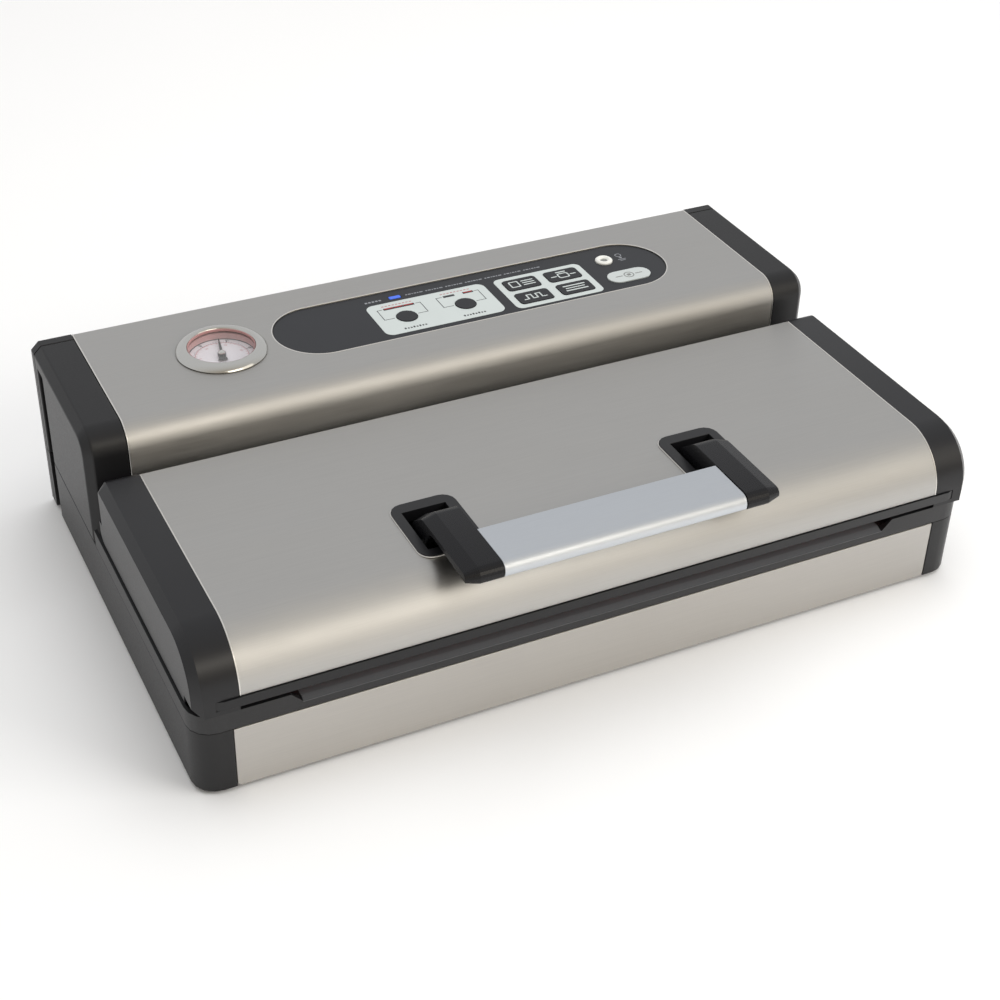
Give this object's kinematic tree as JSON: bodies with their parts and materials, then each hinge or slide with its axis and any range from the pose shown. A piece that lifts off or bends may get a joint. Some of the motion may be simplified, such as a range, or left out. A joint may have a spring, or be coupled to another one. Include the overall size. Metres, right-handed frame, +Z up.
{
  "type": "vacuum sealer",
  "caption": "Countertop vacuum sealer: low stainless lid hinged at a raised control housing, bar handle that latches the lid, round vacuum gauge and key panel.",
  "frame": {"origin": "centre of the machine's footprint on the worktop, under the feet", "axes": "+X to the machine's right seen from the front, +Y to the back, +Z up"},
  "size_m": [0.49, 0.316, 0.1222],
  "materials": {
    "stainless": "brushed stainless sheet",
    "black_plastic": "satin black moulding",
    "dark_key": "satin dark grey key",
    "pale_key": "pale grey-green key",
    "aluminium": "satin anodised",
    "polished_steel": "polished",
    "zinc_plate": "zinc plated",
    "rubber": "matte",
    "silicone": "matte silicone",
    "white_plastic": "gloss white",
    "dial_print": "printed dial",
    "lens": "clear",
    "needle": "black",
    "copper": "wound copper",
    "circuit_board": "green board",
    "blue_lens": "blue lamp lens",
    "coated_tape": "woven coated tape"
  },
  "bodies": {
    "machine": {"base_tray": "black_plastic", "front_panel": "stainless", "deck_frame": "black_plastic", "foot_front_left": "rubber", "foot_front_right": "rubber", "foot_rear_left": "rubber", "foot_rear_right": "rubber", "drip_tray": "stainless", "lower_gasket": "rubber", "seal_bar": "aluminium", "heating_element": "zinc_plate", "release_tape": "coated_tape", "latch_catch_right": "zinc_plate", "latch_catch_left": "zinc_plate", "hinge_pin_right": "zinc_plate", "hinge_pin_left": "zinc_plate", "housing_end_cap_right": "black_plastic", "housing_end_cap_left": "black_plastic", "rear_housing_shell": "stainless", "rear_cover": "black_plastic", "power_inlet": "black_plastic", "switch_frame": "black_plastic", "control_panel": "black_plastic", "ready_lamp": "blue_lens", "canister_port": "white_plastic", "control_board": "circuit_board", "gauge_case": "zinc_plate", "gauge_bezel": "polished_steel", "gauge_dial": "dial_print", "gauge_lens": "lens", "transformer": "copper", "pump_head": "aluminium", "pump_motor": "zinc_plate", "release_valve": "white_plastic", "fan_frame": "black_plastic", "suction_hose": "silicone"},
    "lid": {"lid_cover": "stainless", "lid_end_cap_right": "black_plastic", "lid_end_cap_left": "black_plastic", "lid_frame": "black_plastic", "upper_gasket": "rubber", "pressure_strip": "silicone", "handle_bezel_right": "black_plastic", "handle_bezel_left": "black_plastic"},
    "handle": {"handle_shaft": "zinc_plate", "handle_arm_right": "black_plastic", "handle_arm_left": "black_plastic", "handle_grip": "aluminium", "latch_hook_right": "zinc_plate", "latch_hook_left": "zinc_plate"},
    "gauge_hand": {"gauge_needle": "needle"},
    "switch_rocker": {"power_switch": "dark_key"},
    "fan_blades": {"fan_rotor": "black_plastic"},
    "button_seal_time": {"key_seal_time": "dark_key"},
    "button_pressure": {"key_pressure": "dark_key"},
    "button_vacuum_seal": {"key_vacuum_seal": "dark_key"},
    "button_canister": {"key_canister": "dark_key"},
    "button_pulse": {"key_pulse": "dark_key"},
    "button_manual_seal": {"key_manual_seal": "dark_key"},
    "button_cancel": {"key_cancel": "pale_key"}
  },
  "joints": [
    {"name": "lid_hinge", "type": "hinge", "parent": "machine", "child": "lid", "pos_m": [0, 0.02, 0.0825], "axis": [-1, 0, 0], "range_deg": [0, 88]},
    {"name": "handle_tilt", "type": "hinge", "parent": "lid", "child": "handle", "pos_m": [0, -0.095, 0.088], "axis": [-1, 0, 0], "range_deg": [-10, 30]},
    {"name": "gauge_sweep", "type": "hinge", "parent": "machine", "child": "gauge_hand", "pos_m": [-0.141, 0.102, 0.115], "axis": [0, 0, 1], "range_deg": [-123, 147], "stiffness_Nm_per_rad": 0.0002},
    {"name": "power_rock", "type": "hinge", "parent": "machine", "child": "switch_rocker", "pos_m": [0.13, 0.15, 0.03], "axis": [1, 0, 0], "range_deg": [0, 14]},
    {"name": "fan_spin", "type": "hinge", "parent": "machine", "child": "fan_blades", "pos_m": [-0.12, 0.1435, 0.052], "axis": [0, 1, 0], "continuous": true},
    {"name": "press_seal_time", "type": "slide", "parent": "machine", "child": "button_seal_time", "axis": [0, 0, -1], "range_m": [0, 0.0006], "stiffness_N_per_m": 1500},
    {"name": "press_pressure", "type": "slide", "parent": "machine", "child": "button_pressure", "axis": [0, 0, -1], "range_m": [0, 0.0006], "stiffness_N_per_m": 1500},
    {"name": "press_vacuum_seal", "type": "slide", "parent": "machine", "child": "button_vacuum_seal", "axis": [0, 0, -1], "range_m": [0, 0.0006], "stiffness_N_per_m": 1500},
    {"name": "press_canister", "type": "slide", "parent": "machine", "child": "button_canister", "axis": [0, 0, -1], "range_m": [0, 0.0006], "stiffness_N_per_m": 1500},
    {"name": "press_pulse", "type": "slide", "parent": "machine", "child": "button_pulse", "axis": [0, 0, -1], "range_m": [0, 0.0006], "stiffness_N_per_m": 1500},
    {"name": "press_manual_seal", "type": "slide", "parent": "machine", "child": "button_manual_seal", "axis": [0, 0, -1], "range_m": [0, 0.0006], "stiffness_N_per_m": 1500},
    {"name": "press_cancel", "type": "slide", "parent": "machine", "child": "button_cancel", "axis": [0, 0, -1], "range_m": [0, 0.0006], "stiffness_N_per_m": 1500}
  ]
}
